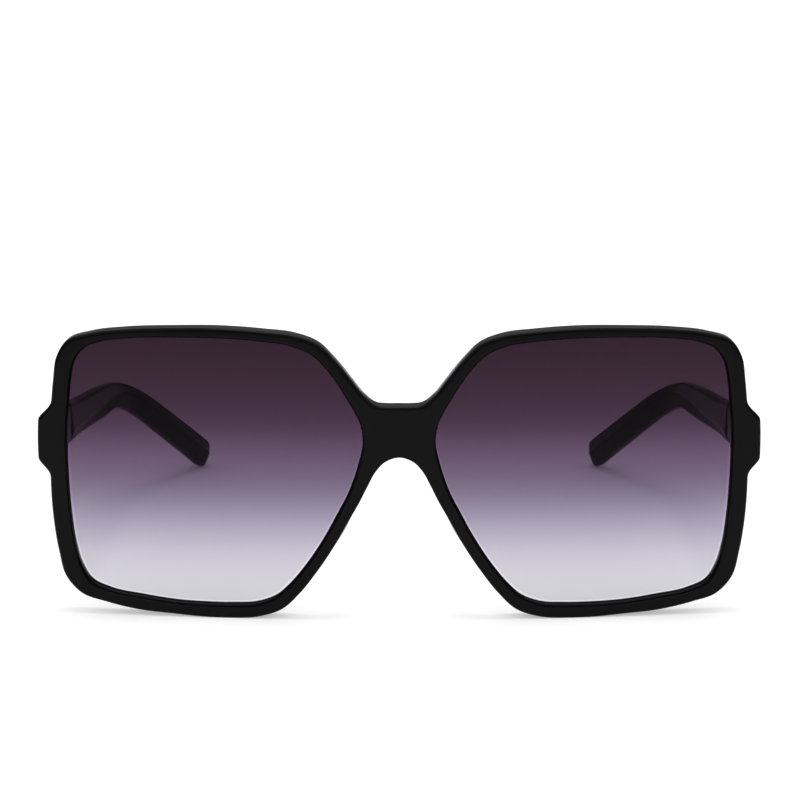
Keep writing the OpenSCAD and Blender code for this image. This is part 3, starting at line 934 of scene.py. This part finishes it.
@dataclass
class Temple:
    """One temple: a rounded bar, deep at the hinge, that bends down and in behind the ear."""

    sizes: Sizes
    side: Side
    length: float = 136.9
    root_h: float = 8.8
    flare_from: float = 9.0
    flare_to: float = 24.0
    mid_h: float = 7.55
    slim_share: float = 0.7
    bend_h: float = 6.0
    tip_h: float = 7.2
    tip_t: float = 3.4
    straight_len: float = 72.6
    ear_bend_len: float = 32.0
    ear_bend: float = 25.0
    ear_turn: float = 23.0
    ear_turn_share: float = 0.75
    toe_in: float = 1.0
    edge_round: float = 1.2
    crease_d: float = 0.4
    crease_shares: tuple[float, float] = (0.2, 0.58)
    crease_levels: tuple[float, ...] = (0.18, 0.06, 0.0, -0.06, -0.18)
    crease_profile: tuple[float, ...] = (0.45, 0.86, 1.0, 0.86, 0.45)
    crease_limit: float = 0.99
    root_rise: float = 0.8
    tip_round: float = 3.0
    tip_lean: float = -0.1
    tip_heel: float = 2.0
    heel_share: float = 0.35
    lean_share: float = 0.1
    tip_turn: float = 84.0
    rings: int = 150
    tip_rings: int = 14
    corner_points: int = 8
    slope_range: tuple[float, float] = (2.0, 12.0)
    slope_tries: int = 40
    sharp_deg: float = 34.0

    @cached_property
    def along(self) -> np.ndarray:
        """Distances along the middle line at which the rings lie, closer round the tip.

        Returns:
            One distance a ring.
        """
        start = self.length - self.tip_round
        turn = np.radians(self.tip_turn * np.arange(1, self.tip_rings + 1) / self.tip_rings)
        tip = start + self.tip_round * np.sin(turn)
        return np.concatenate([np.linspace(0, start, self.rings), tip])

    def drop(self, t: np.ndarray) -> np.ndarray:
        """How far the bar has turned down at distance t, in radians."""
        end = self.straight_len + self.ear_bend_len
        return np.radians(self.ear_bend * ease(self.straight_len, end, t))

    def turn(self, t: np.ndarray) -> np.ndarray:
        """How far the bar has turned in at distance t, in radians."""
        end = self.straight_len + self.ear_turn_share * self.ear_bend_len
        return np.radians(self.ear_turn * ease(self.straight_len, end, t))

    def middle_line(self, slope: float) -> np.ndarray:
        """The middle line from the hinge end: the sum of its steps, each turned down and in.

        Args:
            slope: Fall of the straight part, in degrees.

        Returns:
            One point a ring.
        """
        t = self.along
        mid = (t[1:] + t[:-1]) / 2
        a = math.radians(slope) + self.drop(mid)
        b = math.radians(self.toe_in) + self.turn(mid)
        way = np.stack([-np.sin(b) * np.cos(a), np.cos(b) * np.cos(a), -np.sin(a)], axis=1)
        return np.vstack([[0, 0, 0], np.cumsum(way * np.diff(t)[:, None], axis=0)])

    def heights(self, t: np.ndarray) -> np.ndarray:
        """Height of the bar: bend_h + (mid_h - bend_h)(1 - slim) + flare + grow.

        slim is a smooth step up to the ear's bend, flare a smooth fall from the extra height at the
        hinge, and grow a smooth rise to the tip's height.

        Args:
            t: Distances along the middle line.

        Returns:
            The height at each distance.
        """
        slim_from = self.slim_share * self.straight_len
        slim = ease(slim_from, self.straight_len + self.slim_share * self.ear_bend_len, t)
        grow = (self.tip_h - self.bend_h) * ease(self.straight_len, self.length, t)
        flare = (self.root_h - self.mid_h) * (1 - ease(self.flare_from, self.flare_to, t))
        return self.bend_h + (self.mid_h - self.bend_h) * (1 - slim) + flare + grow

    def sections(self) -> tuple[np.ndarray, np.ndarray]:
        """Offsets out and up from the middle line: a rounded bar with a crease on its inner face.

        Towards the tip the section shrinks by sqrt(1 - end^2), where end runs from 0 to 1 over
        tip_round. Its lower half loses only heel_share of that height, which leaves a heel.

        Returns:
            The offsets out and the offsets up, shaped (rings, points).
        """
        t = self.along[:, None]
        s = self.sizes
        h = self.heights(t) / 2
        w = (s.temple_root_t + (self.tip_t - s.temple_root_t) * t / self.length) / 2
        end = np.clip((t - self.length + self.tip_round) / self.tip_round, 0, 1)
        shrink = np.sqrt(1 - end**2)
        r = np.minimum(self.edge_round, w)
        tall = 1 - (1 - shrink) * w / h
        heel = 1 - self.heel_share * (1 - shrink) * w / h
        corner = np.repeat(np.arange(4), self.corner_points)
        angle = np.radians(90 * corner + np.tile(np.linspace(0, 90, self.corner_points), 4))
        sx = np.where((corner == 0) | (corner == 3), 1, -1)
        sz = np.where(corner < 2, 1, -1)
        out = shrink * (sx * (w - r) + r * np.cos(angle))
        up = np.where(sz > 0, tall, heel) * (sz * (h - r) + r * np.sin(angle))
        first, last = self.crease_shares
        share = first + (last - first) * np.minimum(1, t / self.straight_len)
        levels = 2 * share - 1 + np.array(self.crease_levels)
        levels = np.clip(levels, -self.crease_limit, self.crease_limit)
        proud = w + self.crease_d * np.array(self.crease_profile)
        spot = 2 * self.corner_points
        out = np.concatenate([out[:, :spot], -shrink * proud, out[:, spot:]], axis=1)
        up = np.concatenate([up[:, :spot], tall * (h - r) * levels, up[:, spot:]], axis=1)
        return out, up

    def bar(self, slope: float) -> np.ndarray:
        """Points of the bar round its middle line, with the hinge end at the origin.

        The tip's end leans along the bar by tip_lean of the height above the middle line, and its
        heel is pulled back by tip_heel times the square of the share of the depth below it.

        Args:
            slope: Fall of the straight part, in degrees.

        Returns:
            The points, shaped (rings, points of a section, 3).
        """
        line, (out, up) = self.middle_line(slope), self.sections()
        tilt, yaw = self.drop(self.along), self.turn(self.along)
        sin_t, cos_t, sin_y, cos_y = np.sin(tilt), np.cos(tilt), np.sin(yaw), np.cos(yaw)
        across = np.stack([cos_y, sin_y, np.zeros(len(yaw))], axis=1)
        above = np.stack([-sin_y * sin_t, cos_y * sin_t, cos_t], axis=1)
        way = np.stack([-sin_y * cos_t, cos_y * cos_t, -sin_t], axis=1)
        lean_from = (1 - self.lean_share) * self.length
        near_tip = ease(lean_from, self.length, self.along)[:, None]
        below = np.minimum(up, 0) / (self.tip_h / 2)
        slide = near_tip * (self.tip_lean * up - self.tip_heel * below**2)
        line = line[:, None] + slide[..., None] * way[:, None]
        return line + out[..., None] * across[:, None] + up[..., None] * above[:, None]

    def rest_slope(self, root_z: float) -> float:
        """Slope of the straight part at which the tip just touches the ground, by halving a range.

        Args:
            root_z: Height of the middle line at the hinge.

        Returns:
            The slope, in degrees.
        """
        low, high = self.slope_range
        for _ in range(self.slope_tries):
            slope = (low + high) / 2
            if root_z + self.bar(slope)[..., 2].min() > 0:
                low = slope
            else:
                high = slope
        return (low + high) / 2

    def hinge_cuts(self) -> list[Box]:
        """Boxes to cut for the hinge: the free space round its barrels, and the leaf's pocket.

        Returns:
            The boxes.
        """
        s = self.sizes
        axis_x, axis_y = s.axis
        inner = s.half_w - s.side_step - s.temple_root_t - s.lug_over
        leaf_out = axis_x + s.leaf_t / 2 + s.leaf_clear
        free = s.barrel_h / 2 + s.screw_head_h + s.barrel_free
        slot = s.barrel_h / 2 + s.leaf_clear
        bore = sorted((self.side.value * inner, self.side.value * (axis_x + s.free_r)))
        pocket = sorted((self.side.value * inner, self.side.value * leaf_out))
        root_y, behind = s.butt_y + s.butt_gap, axis_y + s.free_r
        return [
            ((bore[0], root_y - s.lug_over, s.hinge_z - free), (bore[1], behind, s.hinge_z + free)),
            (
                (pocket[0], behind - s.lug_over, s.hinge_z - slot),
                (pocket[1], behind + s.temple_leaf_len + s.leaf_clear, s.hinge_z + slot),
            ),
        ]

    def build(self) -> bpy.types.Object:
        """Closes the bar and cuts the places of the hinge's barrels and leaf.

        Returns:
            The temple.
        """
        s = self.sizes
        root_x = s.half_w - s.side_step - s.temple_root_t / 2
        root = np.array([root_x, s.butt_y + s.butt_gap, s.hinge_z + self.root_rise])
        grid = self.bar(self.rest_slope(root[2])) + root
        rows, n = grid.shape[:2]
        points = grid.reshape(-1, 3) * np.array([self.side.value, 1, 1])
        faces = ring_quads(rows, n, closed_rows=False).reshape(-1, 4).tolist()
        faces += [list(range(n)), list(range((rows - 1) * n, rows * n))]
        temple = make_piece(f"{self.side.word}_temple", points, faces)
        weld(temple)
        carve(temple, self.hinge_cuts())
        shade(temple, self.sharp_deg)
        return temple


@dataclass
class Hinges:
    """The steel hinges and their screws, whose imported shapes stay."""

    nodes: tuple[str, ...] = ("front_hinge", "hinge_screw", "temple_hinge")

    def dress(self, steel: bpy.types.Material) -> None:
        """Gives each imported hinge piece its steel.

        Args:
            steel: The material.
        """
        for side in Side:
            for node in self.nodes:
                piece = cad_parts[f"{node}_{side.word}"]
                for slot in piece.material_slots:
                    slot.material = steel
                LOG.info("dressed %s", piece.name)


# ---- the studio ----


@dataclass
class Studio:
    """White floor, soft even light and the camera."""

    floor_m: float = 24.0
    walls: float = 0.16
    ceiling: float = 0.85
    rise: tuple[float, float] = (0.1, 0.75)
    lamp_w: float = 2.7
    lamp_m: float = 0.4
    lamp_at: tuple[float, float, float] = (0.0, -0.05, 1.1)
    camera_mm: tuple[float, float, float] = (0.0, -499.8, 138.0)
    pitch_deg: float = 11.938
    lens_mm: float = 97.3
    sensor_mm: float = 36.0
    clip_m: tuple[float, float] = (0.01, 50.0)
    centre_px: float = 399.2
    frame_px: float = 800.0

    def build(self) -> None:
        """Floor, room, lamp and camera in turn."""
        half = self.floor_m / 2 / MM
        corners = np.array([[-half, -half, 0], [half, -half, 0], [half, half, 0], [-half, half, 0]])
        floor = make_piece("floor", corners, [[0, 1, 2, 3]])
        floor.data.materials.append(WhitePaper().make())
        scene = bpy.context.scene
        self.light_room(scene)
        self.hang_lamp(scene)
        self.set_camera(scene)
        scene.view_settings.view_transform = "Standard"

    def hang_lamp(self, scene: bpy.types.Scene) -> None:
        """Hangs one large square lamp overhead.

        Args:
            scene: The scene to light.
        """
        lamp = bpy.data.lights.new("overhead", "AREA")
        lamp.energy, lamp.size = self.lamp_w, self.lamp_m
        hung = bpy.data.objects.new("overhead", lamp)
        hung.location = self.lamp_at
        scene.collection.objects.link(hung)

    def set_camera(self, scene: bpy.types.Scene) -> None:
        """Sets the camera at the photo's height, pitch and focal length.

        Args:
            scene: The scene to see.
        """
        view = bpy.data.cameras.new("camera")
        view.sensor_width = self.sensor_mm
        view.lens = self.lens_mm
        view.shift_x = (self.frame_px / 2 - self.centre_px) / self.frame_px
        view.clip_start, view.clip_end = self.clip_m
        camera = bpy.data.objects.new("camera", view)
        camera.location = [v * MM for v in self.camera_mm]
        camera.rotation_euler = (math.radians(90 - self.pitch_deg), 0, 0)
        scene.collection.objects.link(camera)
        scene.camera = camera

    def light_room(self, scene: bpy.types.Scene) -> None:
        """Gives the scene dim walls that rise smoothly to a pale ceiling, and are white to sight.

        Args:
            scene: The scene to light.
        """
        scene.world = bpy.data.worlds.new("studio")
        desk = Desk(scene.world)
        way = desk.node("TexCoord").outputs["Generated"]
        height = desk.node("SeparateXYZ", {0: way}).outputs["Z"]
        tones = (self.walls, self.ceiling)
        rise = desk.remap(height, self.rise, tones, interpolation_type="SMOOTHSTEP")
        seen = desk.node("LightPath").outputs["Is Camera Ray"]
        sky = {"Color": (1, 1, 1, 1), "Strength": desk.highest(rise, seen)}
        desk.finish(desk.node("Background", sky), "OutputWorld")


@dataclass
class Sunglasses:
    """The whole object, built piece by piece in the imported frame."""

    sizes: Sizes = field(default_factory=Sizes)

    def settle(
        self, piece: bpy.types.Object, body: str, node: str, finish: bpy.types.Material
    ) -> None:
        """Dresses a piece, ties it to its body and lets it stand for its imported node.

        Args:
            piece: The finished piece.
            body: Body that it moves with.
            node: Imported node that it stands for.
            finish: Its material.
        """
        piece.data.materials.clear()
        piece.data.materials.append(finish)
        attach(piece, body)
        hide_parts(node)
        LOG.info("%s: %d faces, on %s", piece.name, len(piece.data.polygons), body)

    def build(self) -> None:
        """Front, lenses, temples and hinges in turn.

        A first layout, at a front_y of 0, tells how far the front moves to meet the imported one's.
        """
        plastic, tint, steel = PolishedPlastic().make(), GradientTint().make(), SatinSteel().make()
        first = Front(self.sizes, RimShape(self.sizes)).section_grid()[..., 1].min()
        sizes = replace(self.sizes, front_y=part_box("front_frame")[0].y / MM - first)
        shape = RimShape(sizes)
        front = Front(sizes, shape).build()
        self.settle(front, "front", "front_frame", plastic)
        for side in Side:
            lens = Lens(sizes, shape, side).build()
            self.settle(lens, "front", f"lens_{side.word}", tint)
            temple = Temple(sizes, side).build()
            self.settle(temple, f"{side.word}_temple", f"temple_{side.word}", plastic)
        Hinges().dress(steel)


def main() -> None:
    """Builds the sunglasses and the studio round them."""
    logging.basicConfig(level=logging.INFO, format="%(message)s")
    Sunglasses().build()
    Studio().build()


if __name__ == "__main__":
    main()
